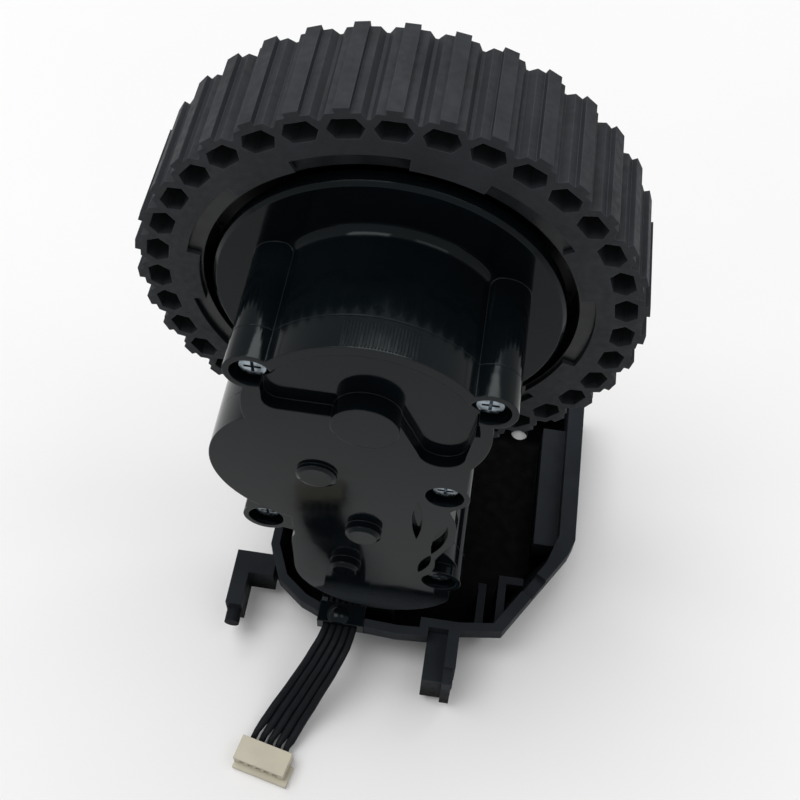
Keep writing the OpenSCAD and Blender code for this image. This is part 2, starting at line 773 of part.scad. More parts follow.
// Half shell under the motor, with the rear pivot eye and the heel of the droop stop
module motor_cradle() {
    cradle_w = motor_d / 2 + 0.1;
    cradle_under = motor_h / 2 + 0.1;
    difference() {
        union() {
            facing_at(motor_at, rear_eye_s) linear_extrude(back_s - rear_eye_s + eps) intersection() {
                circle(r = foot_r);
                translate([-20, -cradle_under - shell_wall]) square([40, cradle_under + shell_wall]);
            }
            facing_at([pivot_x, pivot_z - axle_z], rear_eye_s) linear_extrude(eye_w) {
                circle(r = eye_r, $fn = 64);
                translate([-eye_r, 0]) square([2 * eye_r, foot_z + 4.5 - pivot_z]);
            }
            facing_at([-10.5, floor_t + pad_h + heel_gap - axle_z], -14)
                linear_extrude(5) square([4.5, foot_z + 6 - floor_t - pad_h]);
        }
        facing_at(motor_at, rear_eye_s - 1) linear_extrude(back_s - rear_eye_s + 2) intersection() {
            circle(r = cradle_w);
            translate([-20, -cradle_under]) square([40, 30]);
        }
        facing_at([pivot_x, pivot_z - axle_z], rear_eye_s - 1)
            cylinder(h = eye_w + 2, r = pivot_r + run_gap, $fn = 64);
    }
}

module front_eye() {
    facing_at([pivot_x, pivot_z - axle_z], front_eye_s) difference() {
        linear_extrude(eye_w) {
            circle(r = eye_r, $fn = 64);
            translate([-eye_r, 0]) square([2 * eye_r, foot_z + 1.2 - pivot_z]);
        }
        translate([0, 0, -1]) cylinder(h = eye_w + 2, r = pivot_r + run_gap, $fn = 64);
    }
}

module cover_screws() {
    color([0.75, 0.77, 0.78]) facing() for (p = screw_places)
        translate([p[0], p[1], p[2] - head_sink]) screw(screw_len);
}

module motor_can() {
    color([0.7, 0.71, 0.72]) facing_at(motor_at, 0) difference() {
        union() {
            translate([0, 0, back_s - motor_len + motor_cap_len])
                linear_extrude(motor_len - motor_cap_len) intersection() {
                    circle(d = motor_d);
                    square([motor_d + 1, motor_h], center = true);
                }
            translate([0, 0, back_s - eps]) cylinder(h = shell_wall - 0.2, r = 3, $fn = 48);
        }
        translate([0, 0, -40]) cylinder(h = 60, r = shaft_r + run_gap, $fn = 48);
        for (side = [-1, 1])
            translate([0, side * motor_screw_spacing / 2, back_s - 4])
                cylinder(h = 5, r = thread_r, $fn = 48);
    }
}

module motor_end_cap() {
    color([0.9, 0.9, 0.88]) facing_at(motor_at, back_s - motor_len) difference() {
        union() {
            linear_extrude(motor_cap_len) intersection() {
                circle(d = motor_d);
                square([motor_d + 1, motor_h], center = true);
            }
            for (side = [-1, 1])
                translate([side * 7, 0, -1]) cylinder(h = 1 + eps, r = 1.5, $fn = 32);
        }
        translate([0, 0, -5]) cylinder(h = 20, r = shaft_r + run_gap, $fn = 48);
    }
}

module motor_screws() {
    color([0.75, 0.77, 0.78]) for (side = [-1, 1])
        facing_at(motor_at + [0, side * motor_screw_spacing / 2], floor_s + head_h) screw(4);
}

module encoder_board() {
    color([0.1, 0.35, 0.2]) facing_at(motor_at, back_s - motor_len - 2) difference() {
        linear_extrude(1) intersection() {
            circle(d = motor_d - 2);
            square([motor_d, motor_h - 2], center = true);
        }
        translate([0, 0, -1]) cylinder(h = 3, r = shaft_r + 0.8, $fn = 48);
    }
}

module motor_shaft() {
    color([0.72, 0.73, 0.75]) facing_at(motor_at, back_s - motor_len - 4)
        cylinder(h = mid_s + mid_w + 0.6 - (back_s - motor_len - 4), r = shaft_r, $fn = 48);
}

module motor_pinion() {
    color([0.78, 0.62, 0.3]) facing_at(motor_at, mid_s) difference() {
        gear_ring(z1_pinion, m1, mid_w, angle_10 + 180 + 180 / z1_pinion);
        translate([0, 0, -1]) cylinder(h = mid_w + 2, r = shaft_r, $fn = 48);
    }
}

module encoder_magnet() {
    color([0.2, 0.2, 0.22]) facing_at(motor_at, back_s - motor_len - 4.2) difference() {
        cylinder(h = 1.8, r = magnet_r, $fn = 64);
        translate([0, 0, -1]) cylinder(h = 4, r = shaft_r, $fn = 48);
    }
}

module tray_2d() {
    polygon(tray_corners);
}

module tray_inside_2d() {
    polygon(inset(tray_corners, tray_walls));
}

// Everything outside the leaning front walls, moved inwards by a wall: one cutting block
// for each front edge, from the straight left side to the right wall
function lean_edges() = [
    for (i = [3:len(tray_corners) - 3])
        if (norm(tray_corners[i + 1] - tray_corners[i]) > 2) i
];
module lean_cuts(inward) {
    for (i = lean_edges()) {
        from = tray_corners[i];
        along = tray_corners[i + 1] - from;
        before = i == lug_edge ? 0 : lean_overrun;
        wall = inward * tray_walls[i] / cos(lean);
        translate([from[0], from[1], rim_z - lip_h]) rotate(atan2(along[1], along[0]))
            translate([-before, wall, 0]) rotate([lean, 0, 0])
                translate([0, -30, -30]) cube([norm(along) + before + lean_overrun, 30, 32]);
    }
}

module pivot_post(s) {
    facing_at([pivot_x, pivot_z - axle_z], s) linear_extrude(post_w) {
        circle(r = eye_r, $fn = 64);
        translate([-eye_r, -pivot_z + floor_t - eps]) square([2 * eye_r, pivot_z - floor_t]);
    }
}

// Upright plate of the lug, whose back follows the leaning front wall
module lug_plate(x, w, front_y, top_z) {
    root = rim_z - lip_h;
    back = tray_corners[lug_edge][1] + wall_t / 2;
    translate([x, 0, 0]) rotate([90, 0, 90]) linear_extrude(w) polygon([
        [front_y, floor_t], [back + (root - floor_t) * tan(lean), floor_t],
        [back, root], [back, top_z], [front_y, top_z]
    ]);
}

module lug() {
    difference() {
        union() {
            lug_plate(lug_x[0], lug_x[1] - lug_x[0] + eps, lug_end_y + 0.8, lug_top);
            lug_plate(lug_x[1], lug_x[2] - lug_x[1], lug_end_y + 2.6, rim_z);
            translate([lug_x[1], lug_end_y, floor_t])
                cube([lug_x[2] - lug_x[1] - 0.3, 4, rim_z - floor_t - 1.2]);
        }
        translate([lug_x[0] - 1, -26.6, 6]) rotate([0, 90, 0]) cylinder(h = 8, r = lug_bore_r, $fn = 64);
    }
}

// Low ribs inside the sloping front corner
module corner_ribs() {
    translate([19.2, -20, floor_t - eps]) cube([1.4, 10, 6]);
    translate([22.6, -18.4, floor_t - eps]) cube([1.4, 10, 7]);
    translate([22.6, -9.8, floor_t - eps]) cube([4.4, 1.4, 7]);
}

module hook() {
    translate([-23.6, -14.8, hook_z[0]]) cube([left_x + 23.6 + 1, 4, hook_z[1] - hook_z[0]]);
    translate([-24.4, -21, hook_z[0]]) cube([2.8, 10.2, hook_z[1] - hook_z[0]]);
    translate([-23, -20.9, 6]) rotate([90, 0, 0]) cylinder(h = 2.6, r = peg_r, $fn = 48);
}

module frame() {
    color([0.09, 0.09, 0.1]) difference() {
        union() {
            difference() {
                union() {
                    difference() {
                        linear_extrude(rim_z) tray_2d();
                        difference() {
                            translate([0, 0, floor_t]) linear_extrude(rim_z) tray_inside_2d();
                            lean_cuts(1);
                        }
                    }
                    corner_ribs();
                }
                lean_cuts(0);
            }
            translate([right_side_x - side_t - ledge_w, -1.4, floor_t - eps])
                cube([ledge_w + 0.2, 24.8, rim_z - ledge_drop - floor_t]);
            pivot_post(front_post_s);
            pivot_post(rear_post_s);
            lug();
            hook();
        }
        facing_at([pivot_x, pivot_z - axle_z], pin_rear_s - 10)
            cylinder(h = pin_front_s - pin_rear_s + 10, r = pivot_r, $fn = 64);
        translate([pivot_x, back_y - 7, pivot_z]) rotate([-90, 0, 0])
            cylinder(h = 10, r = pivot_r + 1.1, $fn = 64);
        translate([29.3, -11.6, rim_z - step_h]) rotate(57.5)
            translate([-2.2, -4, 0]) cube([4.4, 8, 4]);
        translate([clip_x[0], -25, rim_z - clip_drop]) cube([clip_x[1] - clip_x[0], 6, 4]);
        for (side = [-1, 1])
            translate([6 + side * floor_hole_spacing / 2, 26.4, -1])
                cylinder(h = floor_t + 2, r = floor_hole_r, $fn = 64);
    }
}

module pivot_pin() {
    color([0.72, 0.73, 0.75]) facing_at([pivot_x, pivot_z - axle_z], pin_rear_s) difference() {
        cylinder(h = pin_front_s - pin_rear_s, r = pivot_r, $fn = 64);
        translate([0, 0, 0.5]) difference() {
            cylinder(h = 0.7, r = pivot_r + 1);
            translate([0, 0, -1]) cylinder(h = 3, r = pivot_r - 0.4, $fn = 48);
        }
    }
}

module pivot_clip() {
    color([0.6, 0.61, 0.62]) facing_at([pivot_x, pivot_z - axle_z], pin_rear_s + 0.55) difference() {
        cylinder(h = 0.6, r = 3, $fn = 64);
        translate([0, 0, -1]) cylinder(h = 3, r = pivot_r - 0.35, $fn = 48);
        translate([-0.8, -4, -1]) cube([1.6, 4, 3]);
    }
}

// Points of the spring: a leg along the floor, the coil, and a leg against the arm's foot
function spring_path() =
    let (floor_leg = -(pivot_z - floor_t - spring_wire_r - spring_gap), depth = spring_pitch * spring_turns)
    let (to_foot = motor_at + [-pivot_x, axle_z - pivot_z - spring_coil_r])
    let (rise = atan2(to_foot[1], to_foot[0]) - asin((foot_r + spring_wire_r + spring_gap) / norm(to_foot)))
    concat(
        [[10.5, floor_leg, 0], [5, floor_leg, 0]],
        [for (i = [0:spring_turns * 14])
            let (a = -90 - i * 360 / 14)
            [spring_coil_r * cos(a), spring_coil_r * sin(a), spring_pitch * i / 14]],
        [[spring_leg * cos(rise), spring_coil_r + spring_leg * sin(rise), depth]]
    );

module torsion_spring() {
    color([0.66, 0.67, 0.69]) facing_at([pivot_x, pivot_z - axle_z], spring_s)
        sweep(spring_path(), [for (p = spring_path()) [spring_wire_r, spring_wire_r]], 8);
}

// Sweeps a flattened round section along points; sizes holds half width and half height
function tangent(pts, i) =
    let (a = pts[max(i - 1, 0)], b = pts[min(i + 1, len(pts) - 1)]) (b - a) / norm(b - a);
function side_of(t) = let (c = cross([0, 0, 1], t)) norm(c) > 0.2 ? c / norm(c) : cross([0, 1, 0], t);
function ring(p, t, size, sides) =
    let (u = side_of(t), w = cross(t, u))
    [
        for (k = [0:sides - 1])
            let (angle = (k + 0.5) * 360 / sides)
                p + size[0] * cos(angle) * u + size[1] * sin(angle) * w
    ];

module sweep(pts, sizes, sides) {
    n = len(pts);
    polyhedron(
        points = [for (i = [0:n - 1]) each ring(pts[i], tangent(pts, i), sizes[i], sides)],
        faces = concat(
            [[for (k = [0:sides - 1]) k]],
            [for (i = [0:n - 2], k = [0:sides - 1])
                let (a = i * sides + k, b = i * sides + (k + 1) % sides)
                [b, a, a + sides, b + sides]],
            [[for (k = [sides - 1:-1:0]) (n - 1) * sides + k]]
        )
    );
}

module stop_pad() {
    color([0.12, 0.12, 0.12]) translate([-10.7, 8.8, floor_t]) cube([5, 5.4, pad_h]);
}

// Clip in a notch of the rim: a roof with a round dome over the ribbon, and an open channel
// behind it that carries the ribbon under the gearbox
module cable_clip() {
    middle = cable_route[3];
    low = rim_z - clip_drop + 0.05;
    half_slot = wire_n * wire_d / 2 + clip_gap;
    color([0.08, 0.08, 0.09]) difference() {
        union() {
            translate([clip_x[0] + 0.05, middle[1], low])
                cube([clip_x[1] - clip_x[0] - 0.1, channel_y - middle[1], channel_top - low]);
            translate([clip_x[0] + 0.05, middle[1], low])
                cube([clip_x[1] - clip_x[0] - 0.1, clip_roof_w, clip_top - low]);
            intersection() {
                translate([middle[0] - 0.5, middle[1] + clip_roof_w - dome_r, clip_top - dome_r + dome_h])
                    sphere(r = dome_r, $fn = 48);
                translate([middle[0] - 0.5 - dome_r, middle[1], clip_top - eps])
                    cube([2 * dome_r, clip_roof_w, dome_r]);
            }
        }
        for (i = [1:3]) hull() for (p = [cable_route[i], cable_route[i + 1]])
            translate([middle[0] - half_slot, p[1], p[2] - wire_d / 2 - clip_gap])
                cube([2 * half_slot, eps, wire_d + 2 * clip_gap]);
        translate([middle[0] - half_slot, middle[1] + clip_roof_w, cable_route[0][2] - wire_d / 2 - clip_gap])
            cube([2 * half_slot, 10, 10]);
    }
}

module cable() {
    last = len(cable_route) - 1;
    spread = (wire_n - 1) * contact_pitch / 2 + wire_d / 2;
    snug = wire_n * wire_d / 2;
    color([0.05, 0.05, 0.06]) sweep(
        cable_route,
        [for (i = [0:last]) [snug + (spread - snug) * i / last, wire_d / 2] / cos(22.5)], 8
    );
}

module connector() {
    color([0.93, 0.9, 0.82]) translate([cable_end[0], cable_end[1], 0]) rotate(connector_turn)
        difference() {
            union() {
                translate([-connector_w / 2, lip_front - connector_l, 0])
                    cube([connector_w, connector_l - lip_front, connector_h]);
                translate([-connector_w / 2, -connector_l, 0])
                    cube([connector_w + lip_step, connector_l * 0.7, lip_t]);
            }
            for (i = [0:wire_n - 1])
                translate([(i - (wire_n - 1) / 2) * contact_pitch - 0.45, -connector_l - 1, opening_z])
                    cube([0.9, 4, opening_h]);
        }
}

module connector_contacts() {
    color([0.8, 0.68, 0.35]) translate([cable_end[0], cable_end[1], 0]) rotate(connector_turn)
        for (i = [0:wire_n - 1])
            translate([(i - (wire_n - 1) / 2) * contact_pitch - 0.3, 2 - connector_l, opening_z])
                cube([0.6, 1, 0.3]);
}

frame();
pivot_pin();
pivot_clip();
torsion_spring();
stop_pad();
cable_clip();
inner_shell();
gear_cover();
cover_screws();
rear_bush();
front_bush();
gear_pins();
motor_can();
motor_end_cap();
motor_screws();
encoder_board();
tyre();
wheel_rim();
wheel_axle();
hub_screw();
output_gear();
third_gear();
second_gear();
first_gear();
motor_shaft();
motor_pinion();
encoder_magnet();
cable();
connector();
connector_contacts();
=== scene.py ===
"""Looks for a sprung drive wheel module: finishes, the ribbon cable, floor, light and camera."""

import json
import math

import bmesh
import bpy
from mathutils import Matrix, Vector


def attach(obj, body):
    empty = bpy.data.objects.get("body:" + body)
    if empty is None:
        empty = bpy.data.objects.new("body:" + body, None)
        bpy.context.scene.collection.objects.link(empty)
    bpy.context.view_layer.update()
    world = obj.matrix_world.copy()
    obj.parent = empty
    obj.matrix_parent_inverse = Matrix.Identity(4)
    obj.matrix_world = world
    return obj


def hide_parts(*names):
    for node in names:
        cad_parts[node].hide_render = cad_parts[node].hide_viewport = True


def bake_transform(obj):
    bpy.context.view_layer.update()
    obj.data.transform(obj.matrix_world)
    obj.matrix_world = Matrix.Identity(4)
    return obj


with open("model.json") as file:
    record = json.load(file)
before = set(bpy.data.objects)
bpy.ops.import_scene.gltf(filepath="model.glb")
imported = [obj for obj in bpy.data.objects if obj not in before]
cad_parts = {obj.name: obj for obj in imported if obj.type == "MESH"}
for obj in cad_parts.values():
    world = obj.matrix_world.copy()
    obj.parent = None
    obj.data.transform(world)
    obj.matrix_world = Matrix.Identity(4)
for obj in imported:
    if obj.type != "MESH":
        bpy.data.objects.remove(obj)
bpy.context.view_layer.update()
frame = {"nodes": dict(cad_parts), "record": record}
MM = 0.001


def add_object(name, data):
    obj = bpy.data.objects.new(name, data)
    bpy.context.collection.objects.link(obj)
    return obj


# Camera: where the photograph was taken from and which way it looked
CAMERA_AT = Vector((11.82, -93.0, 192.8)) * MM
CAMERA_RIGHT = Vector((0.98888, 0.14596, 0.02866))
CAMERA_FORWARD = Vector((-0.05561, 0.54145, -0.83889))
CAMERA_CLIP = (0.01, 10)
SENSOR_MM = 36.0
FOCAL_PX = 1115.5
IMAGE_PX = 800.0


def make_camera():
    data = bpy.data.cameras.new("camera")
    data.sensor_width = SENSOR_MM
    data.lens = FOCAL_PX / IMAGE_PX * SENSOR_MM
    data.clip_start, data.clip_end = CAMERA_CLIP
    obj = add_object("camera", data)
    back = -CAMERA_FORWARD.normalized()
    up = back.cross(CAMERA_RIGHT).normalized()
    right = up.cross(back)
    turn = Matrix((right, up, back)).transposed().to_4x4()
    obj.matrix_world = Matrix.Translation(CAMERA_AT) @ turn
    bpy.context.scene.camera = obj


make_camera()


# Node materials. Places, radii and heights are in metres, noise scales in marks per metre
NOISE_LOW, NOISE_HIGH = 0.3, 0.7  # most of a noise lies between these
BEVEL_SAMPLES = 4
EDGE_FULL_AT, EDGE_NONE_AT = 0.78, 0.985  # cosine between the true and the softened normal


class Finish:
    """One node material with a principled shader and object coordinates."""

    def __init__(self, name, color, roughness, metallic=0.0, specular=0.5):
        self.mat = bpy.data.materials.new(name)
        self.mat.use_nodes = True
        self.nodes = self.mat.node_tree.nodes
        self.links = self.mat.node_tree.links
        self.shader = self.nodes["Principled BSDF"]
        self.color = color
        self.shader.inputs["Base Color"].default_value = (*color, 1)
        self.shader.inputs["Roughness"].default_value = roughness
        self.shader.inputs["Metallic"].default_value = metallic
        self.shader.inputs["Specular IOR Level"].default_value = specular
        self.coords = self.nodes.new("ShaderNodeTexCoord")
        self.normal = None

    def noise(self, scale, detail, stretch=(1, 1, 1)):
        mapping = self.nodes.new("ShaderNodeMapping")
        mapping.inputs["Scale"].default_value = stretch
        tex = self.nodes.new("ShaderNodeTexNoise")
        tex.inputs["Scale"].default_value = scale
        tex.inputs["Detail"].default_value = detail
        self.links.new(self.coords.outputs["Object"], mapping.inputs["Vector"])
        self.links.new(mapping.outputs["Vector"], tex.inputs["Vector"])
        return tex.outputs["Fac"]

    def place(self, axis):
        """One coordinate of the surface: Z is the height above the table."""
        split = self.nodes.new("ShaderNodeSeparateXYZ")
        self.links.new(self.coords.outputs["Object"], split.inputs["Vector"])
        return split.outputs[axis]

    def product(self, first, second):
        node = self.nodes.new("ShaderNodeMath")
        node.operation = "MULTIPLY"
        self.links.new(first, node.inputs[0])
        self.links.new(second, node.inputs[1])
        return node.outputs["Value"]

    def near(self, axis, middle, reach):
        """One within a reach of a coordinate, and zero elsewhere."""
        node = self.nodes.new("ShaderNodeMath")
        node.operation = "COMPARE"
        self.links.new(self.place(axis), node.inputs[0])
        node.inputs[1].default_value = middle
        node.inputs[2].default_value = reach
        return node.outputs["Value"]

    def spread(self, source, low, high, start=NOISE_LOW, end=NOISE_HIGH):
        """Maps a value from start..end to low..high."""
        node = self.nodes.new("ShaderNodeMapRange")
        node.inputs["From Min"].default_value = start
        node.inputs["From Max"].default_value = end
        node.inputs["To Min"].default_value = low
        node.inputs["To Max"].default_value = high
        self.links.new(source, node.inputs["Value"])
        return node.outputs["Result"]

    def vary_color(self, source, darker, lighter):
        """Colour from darker to lighter times the base colour."""
        ramp = self.nodes.new("ShaderNodeValToRGB")
        for stop, position, factor in zip(
            ramp.color_ramp.elements, (NOISE_LOW, NOISE_HIGH), (darker, lighter)
        ):
            stop.position = position
            stop.color = (*[c * factor for c in self.color], 1)
        self.links.new(source, ramp.inputs["Fac"])
        self.links.new(ramp.outputs["Color"], self.shader.inputs["Base Color"])
        return ramp.outputs["Color"]

    def scale_color(self, color, factor):
        """Multiplies a colour by a factor that varies over the surface."""
        scale = self.nodes.new("ShaderNodeVectorMath")
        scale.operation = "SCALE"
        self.links.new(color, scale.inputs["Vector"])
        self.links.new(factor, scale.inputs["Scale"])
        self.links.new(scale.outputs["Vector"], self.shader.inputs["Base Color"])
        return scale.outputs["Vector"]

    def add_color_amount(self, color, lift, amount):
        """Adds a colour by an amount that varies over the surface."""
        part = self.nodes.new("ShaderNodeVectorMath")
        part.operation = "SCALE"
        part.inputs["Vector"].default_value = lift
        self.links.new(amount, part.inputs["Scale"])
        total = self.nodes.new("ShaderNodeVectorMath")
        self.links.new(color, total.inputs[0])
        self.links.new(part.outputs["Vector"], total.inputs[1])
        self.links.new(total.outputs["Vector"], self.shader.inputs["Base Color"])
        return total.outputs["Vector"]

    def vary_roughness(self, source, low, high):
        self.links.new(self.spread(source, low, high), self.shader.inputs["Roughness"])

    def round_edges(self, radius):
        """Softens the look of sharp edges."""
        bevel = self.nodes.new("ShaderNodeBevel")
        bevel.samples = BEVEL_SAMPLES
        bevel.inputs["Radius"].default_value = radius
        self.links.new(bevel.outputs["Normal"], self.shader.inputs["Normal"])
        self.normal = bevel.outputs["Normal"]

    def lighten_edges(self, color, edge_color):
        """Adds a lighter colour along the edges that round_edges() softened before."""
        surface = self.nodes.new("ShaderNodeNewGeometry")
        facing = self.nodes.new("ShaderNodeVectorMath")
        facing.operation = "DOT_PRODUCT"
        self.links.new(surface.outputs["Normal"], facing.inputs[0])
        self.links.new(self.normal, facing.inputs[1])
        edge_amount = self.spread(facing.outputs["Value"], 1.0, 0.0, EDGE_FULL_AT, EDGE_NONE_AT)
        self.add_color_amount(color, edge_color, edge_amount)

    def bump(self, source, height):
        node = self.nodes.new("ShaderNodeBump")
        node.inputs["Strength"].default_value = 1.0
        node.inputs["Distance"].default_value = height
        self.links.new(source, node.inputs["Height"])
        if self.normal is not None:
            self.links.new(self.normal, node.inputs["Normal"])
        self.links.new(node.outputs["Normal"], self.shader.inputs["Normal"])
        self.normal = node.outputs["Normal"]


TYRE_EDGE_TINT = (0.034, 0.037, 0.042)

COVER_PAINTED_REFLECTION = (0.039, 0.043, 0.0465)
COVER_PAINTED_REFLECTION_Z = (0.013, 0.021)  # painted reflection: the cover's front face is lighter towards its lower end, standing in for the floor it mirrors
COVER_FACE_Y = (-0.0190, 0.0006)  # where its front face is, and how far either way
# painted highlight: light lines along the cover's edges, where its fillets catch the light
COVER_EDGE_GLINT = (0.014, 0.016, 0.0175)
COVER_TINT = (0.9, 1.0, 1.02, 1)  # of its gloss

TRAY_PAINTED_SHADE = 0.05  # painted shade: how much of its colour the tray keeps at the bottom
TRAY_PAINTED_SHADE_Z = (0.004, 0.0095)  # painted shade: the tray's inside is darker than its rim, where its walls and the arm shade it
TRAY_EDGE_TINT = (0.014, 0.016, 0.018)

METAL_STREAKS = (1, 12, 1)  # they run round pieces that lie along Y
ROUGHNESS_SPREAD = 0.08  # of the plain plastics, either way


def tyre_rubber():
    f = Finish("tyre_rubber", (0.0195, 0.0215, 0.0245), roughness=0.7, specular=0.2)
    f.round_edges(radius=0.00018)
    cloud = f.vary_color(f.noise(160, detail=5), darker=0.82, lighter=1.2)
    f.lighten_edges(cloud, TYRE_EDGE_TINT)
    f.vary_roughness(f.noise(900, detail=3), low=0.58, high=0.8)
    f.bump(f.noise(5200, detail=2), height=0.00002)
    return f.mat


def gloss_black():
    f = Finish("gloss_black", (0.0020, 0.0032, 0.0040), roughness=0.09, specular=0.115)
    f.round_edges(radius=0.00022)
    cloud = f.vary_color(f.noise(90, detail=3), darker=0.8, lighter=1.3)
    # painted reflection: the lower end of the front face is lightened in colour to stand in for
    # the floor it mirrors
    lower_end = f.spread(f.place("Z"), 1.0, 0.0, *COVER_PAINTED_REFLECTION_Z)
    lift = f.product(lower_end, f.near("Y", *COVER_FACE_Y))
    # painted highlight: a lighter colour along the cover's edges
    f.lighten_edges(f.add_color_amount(cloud, COVER_PAINTED_REFLECTION, lift), COVER_EDGE_GLINT)
    f.shader.inputs["Specular Tint"].default_value = COVER_TINT
    f.vary_roughness(f.noise(260, detail=4), low=0.05, high=0.14)
    f.bump(f.noise(420, detail=2), height=0.000006)
    return f.mat


def tray_plastic():
    f = Finish("tray_plastic", (0.0180, 0.0205, 0.0240), roughness=0.4, specular=0.015)
    f.round_edges(radius=0.0002)
    cloud = f.vary_color(f.noise(120, detail=4), darker=0.85, lighter=1.2)
    # painted shade: the tray's colour is darkened towards the bottom, where its walls and the arm
    # shade it
    painted_shade = f.spread(f.place("Z"), TRAY_PAINTED_SHADE, 1.0, *TRAY_PAINTED_SHADE_Z)
    f.lighten_edges(f.scale_color(cloud, painted_shade), TRAY_EDGE_TINT)
    f.vary_roughness(f.noise(500, detail=3), low=0.3, high=0.5)
    f.bump(f.noise(3600, detail=2), height=0.00001)
    return f.mat


def rim_plastic():
    f = Finish("rim_plastic", (0.0055, 0.0068, 0.0080), roughness=0.35, specular=0.25)
    f.round_edges(radius=0.0002)
    f.vary_color(f.noise(110, detail=3), darker=0.85, lighter=1.25)
    f.vary_roughness(f.noise(420, detail=3), low=0.25, high=0.45)
    f.bump(f.noise(3000, detail=2), height=0.000008)
    return f.mat


def pad_rubber():
    f = Finish("pad_rubber", (0.02, 0.02, 0.02), roughness=0.8, specular=0.3)
    f.vary_color(f.noise(400, detail=4), darker=0.8, lighter=1.2)
    f.bump(f.noise(4000, detail=2), height=0.00002)
    return f.mat


def metal(name, color, low, high, cloud=300, darker=0.88, lighter=1.08):
    """Metal with a roughness from low to high along its streaks, and clouds in its colour."""
    f = Finish(name, color, roughness=(low + high) / 2, metallic=1.0)
    f.round_edges(radius=0.00008)
    f.vary_color(f.noise(cloud, detail=4), darker, lighter)
    streak = f.noise(1800, detail=3, stretch=METAL_STREAKS)
    f.vary_roughness(streak, low, high)
    f.bump(streak, height=0.000003)
    return f.mat


def plain_plastic(name, color, rough=0.45):
    f = Finish(name, color, rough)
    f.round_edges(radius=0.0001)
    f.vary_color(f.noise(350, detail=4), darker=0.93, lighter=1.05)
    f.vary_roughness(f.noise(700, detail=3), rough - ROUGHNESS_SPREAD, rough + ROUGHNESS_SPREAD)
    f.bump(f.noise(3500, detail=2), height=0.000006)
    return f.mat


def wire_cover():
    f = Finish("wire_black", (0.0026, 0.0034, 0.0048), roughness=0.6, specular=0.12)
    f.vary_color(f.noise(500, detail=3), darker=0.8, lighter=1.3)
    f.vary_roughness(f.noise(900, detail=3), low=0.5, high=0.68)
    f.bump(f.noise(2500, detail=2), height=0.00001)
    return f.mat


FINISHES = {
    "tyre_rubber": tyre_rubber(),
    "gloss_black": gloss_black(),
    "tray_plastic": tray_plastic(),
    "rim_plastic": rim_plastic(),
    "pad_rubber": pad_rubber(),
    "steel": metal("steel", (0.56, 0.56, 0.57), low=0.2, high=0.34),
    "spring_steel": metal("spring_steel", (0.45, 0.45, 0.46), low=0.25, high=0.4),
    "motor_steel": metal("motor_steel", (0.6, 0.61, 0.62), low=0.22, high=0.36),
    # painted reflection: the zinc is darkened and clouded bright and dark to stand in for the
    # dark surroundings and bright spots its heads mirror
    "zinc": metal(
        "zinc", (0.21, 0.245, 0.27), low=0.08, high=0.26, cloud=900, darker=0.4, lighter=1.6
    ),
    "bronze": metal("bronze", (0.5, 0.34, 0.17), low=0.4, high=0.55),
    "brass_pinion": metal("brass_pinion", (0.7, 0.52, 0.22), low=0.2, high=0.35),
    "contact_tin": metal("contact_tin", (0.2, 0.19, 0.17), low=0.3, high=0.45),
    "gear_plastic": plain_plastic("gear_plastic", (0.72, 0.71, 0.66)),
    "white_plastic": plain_plastic("white_plastic", (0.74, 0.74, 0.72)),
    "board_green": plain_plastic("board_green", (0.02, 0.13, 0.05), rough=0.3),
    "magnet_black": plain_plastic("magnet_black", (0.03, 0.03, 0.033), rough=0.5),
    # painted shade: the plug's cream is darkened to stand in for the shadow it lies in
    "connector_cream": plain_plastic("connector_cream", (0.45, 0.415, 0.318), rough=0.4),
    "wire_black": wire_cover(),
}


def finish_cad_nodes():
    slot_of = {s["node"]: s["material_slot"] for s in frame["record"]["subparts"]}
    for name, obj in frame["nodes"].items():
        if not obj.material_slots:
            obj.data.materials.append(FINISHES[slot_of[name]])
        for slot in obj.material_slots:
            slot.material = FINISHES[slot_of[name]]


finish_cad_nodes()


def make_spring():
    obj = add_object("spring_wire", frame["nodes"]["torsion_spring"].data.copy())
    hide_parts("torsion_spring")
    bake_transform(obj)


make_spring()


# Ribbon cable: five wires side by side, on the middle line that the solid follows
CABLE_ROUTE_MM = [
    (-3.6, -17.4, 11.1), (-3.6, -19.4, 11.1), (-3.6, -21.4, 11.3), (-3.6, -23.4, 11.6),
    (-3.8, -24.9, 11.8), (-4.1, -26.4, 11.8), (-4.6, -27.8, 11.5), (-5.2, -29.1, 10.9),
    (-5.8, -30.3, 10), (-6.5, -31.4, 8.9), (-7.2, -32.4, 7.7), (-7.9, -33.4, 6.5),
    (-8.6, -34.5, 5.4), (-9.4, -35.7, 4.3), (-10.2, -37, 3.4), (-10.9, -38.4, 2.7),
    (-11.6, -39.8, 2.1), (-12.3, -41.2, 1.75), (-12.6, -42.6, 1.75),
]
WIRE_D_MM = 1.1
WIRE_COUNT = 5
CONTACT_PITCH_MM = 1.5
WIRE_SIDES = 16
LOOSE_POINTS = 2  # at the last points before the plug the wires stand apart


def ribbon_pitch(i, last):
    """Distance between two wires, which grows evenly towards the plug."""
    return (WIRE_D_MM + (CONTACT_PITCH_MM - WIRE_D_MM) * i / last) * MM


def wire_rings(index):
    """Centre, sideways vector, upward vector and half width of one wire at each point."""
    route = [Vector(p) * MM for p in CABLE_ROUTE_MM]
    last = len(route) - 1
    rings = []
    for i, point in enumerate(route):
        along = (route[min(i + 1, last)] - route[max(i - 1, 0)]).normalized()
        across = Vector((0, 0, 1)).cross(along).normalized()
        pitch = ribbon_pitch(i, last)
        half_width = WIRE_D_MM / 2 * MM if i > last - LOOSE_POINTS else pitch / 2
        centre = point + across * (index - (WIRE_COUNT - 1) / 2) * pitch
        rings.append((centre, across, along.cross(across), half_width))
    return rings


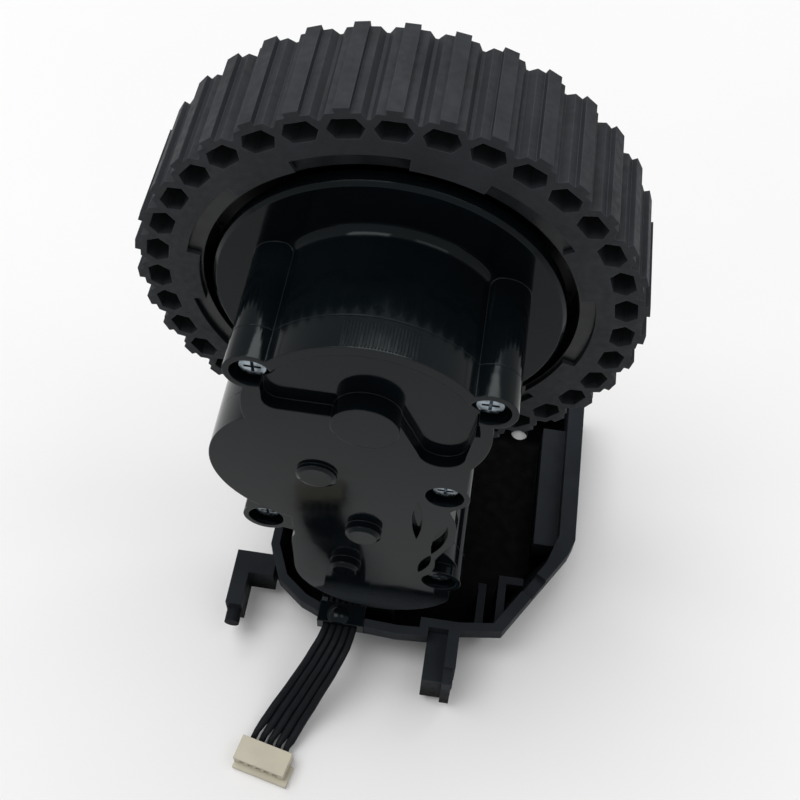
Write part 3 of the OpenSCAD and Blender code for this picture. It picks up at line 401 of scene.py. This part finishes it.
def make_wire(index):
    rings = wire_rings(index)
    name = f"wire_{index + 1}"
    mesh = bpy.data.meshes.new(name)
    build = bmesh.new()
    turns = [2 * math.pi * k / WIRE_SIDES for k in range(WIRE_SIDES)]
    loops = []
    for centre, across, up, half_width in rings:
        loops.append([
            build.verts.new(
                centre + across * half_width * math.cos(t) + up * WIRE_D_MM / 2 * MM * math.sin(t)
            )
            for t in turns
        ])
    for a, b in zip(loops, loops[1:]):
        for k in range(WIRE_SIDES):
            n = (k + 1) % WIRE_SIDES
            build.faces.new((a[k], a[n], b[n], b[k]))
    build.faces.new(list(reversed(loops[0])))
    build.faces.new(loops[-1])
    bmesh.ops.recalc_face_normals(build, faces=build.faces)
    for face in build.faces:
        face.smooth = len(face.verts) == 4
    build.to_mesh(mesh)
    build.free()
    obj = add_object(name, mesh)
    mesh.materials.append(FINISHES["wire_black"])
    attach(obj, "frame")
    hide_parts("cable")


for wire_index in range(WIRE_COUNT):
    make_wire(wire_index)


# Floor, light and background, in metres and watts
FLOOR_REACH = 3
FLOOR_COLOR = (0.8, 0.794, 0.79)
LAMPS_AIM_AT = (0, 0, 0.05)
SOFT_LIGHT_COLOR = (0.97, 0.98, 1.0, 1)
SOFT_LIGHT_STRENGTH = 0.52
BACKGROUND_COLOR = (0.8, 0.81, 0.82, 1)


def make_floor():
    mesh = bpy.data.meshes.new("floor")
    build = bmesh.new()
    bmesh.ops.create_grid(build, x_segments=1, y_segments=1, size=FLOOR_REACH)
    build.to_mesh(mesh)
    build.free()
    obj = add_object("floor", mesh)
    f = Finish("floor_paper", FLOOR_COLOR, roughness=0.7, specular=0.1)
    f.vary_color(f.noise(6, detail=3), darker=0.98, lighter=1.02)
    mesh.materials.append(f.mat)


def area_light(name, at, power, size, size_y=None):
    data = bpy.data.lights.new(name, "AREA")
    data.energy = power
    data.size = size
    if size_y is not None:
        data.shape = "RECTANGLE"
        data.size_y = size_y
    obj = add_object(name, data)
    obj.location = at
    obj.rotation_mode = "QUATERNION"
    obj.rotation_quaternion = (Vector(LAMPS_AIM_AT) - Vector(at)).to_track_quat("-Z", "Y")


def make_world():
    """Soft light from all round, and a plain background for what is seen or mirrored."""
    world = bpy.data.worlds.new("studio")
    bpy.context.scene.world = world
    world.use_nodes = True
    nodes, links = world.node_tree.nodes, world.node_tree.links
    soft = nodes["Background"]
    soft.inputs["Color"].default_value = SOFT_LIGHT_COLOR
    soft.inputs["Strength"].default_value = SOFT_LIGHT_STRENGTH
    seen = nodes.new("ShaderNodeBackground")
    seen.inputs["Color"].default_value = BACKGROUND_COLOR
    path = nodes.new("ShaderNodeLightPath")
    mix = nodes.new("ShaderNodeMixShader")
    seen_by = path.outputs["Is Camera Ray"]
    for ray in ("Is Glossy Ray", "Is Transmission Ray"):
        either = nodes.new("ShaderNodeMath")
        either.operation = "MAXIMUM"
        links.new(seen_by, either.inputs[0])
        links.new(path.outputs[ray], either.inputs[1])
        seen_by = either.outputs["Value"]
    links.new(seen_by, mix.inputs["Fac"])
    links.new(soft.outputs["Background"], mix.inputs[1])
    links.new(seen.outputs["Background"], mix.inputs[2])
    links.new(mix.outputs["Shader"], nodes["World Output"].inputs["Surface"])


make_floor()
make_world()
area_light("window", at=(-0.6, -0.05, 1.6), power=13.6, size=1.0, size_y=1.0)
area_light("back", at=(-0.05, 0.83, 1.44), power=7.5, size=1.9, size_y=0.18)
area_light("fill", at=(0.8, 0.0, 1.4), power=3.5, size=0.8)
bpy.context.scene.view_settings.view_transform = "Standard"
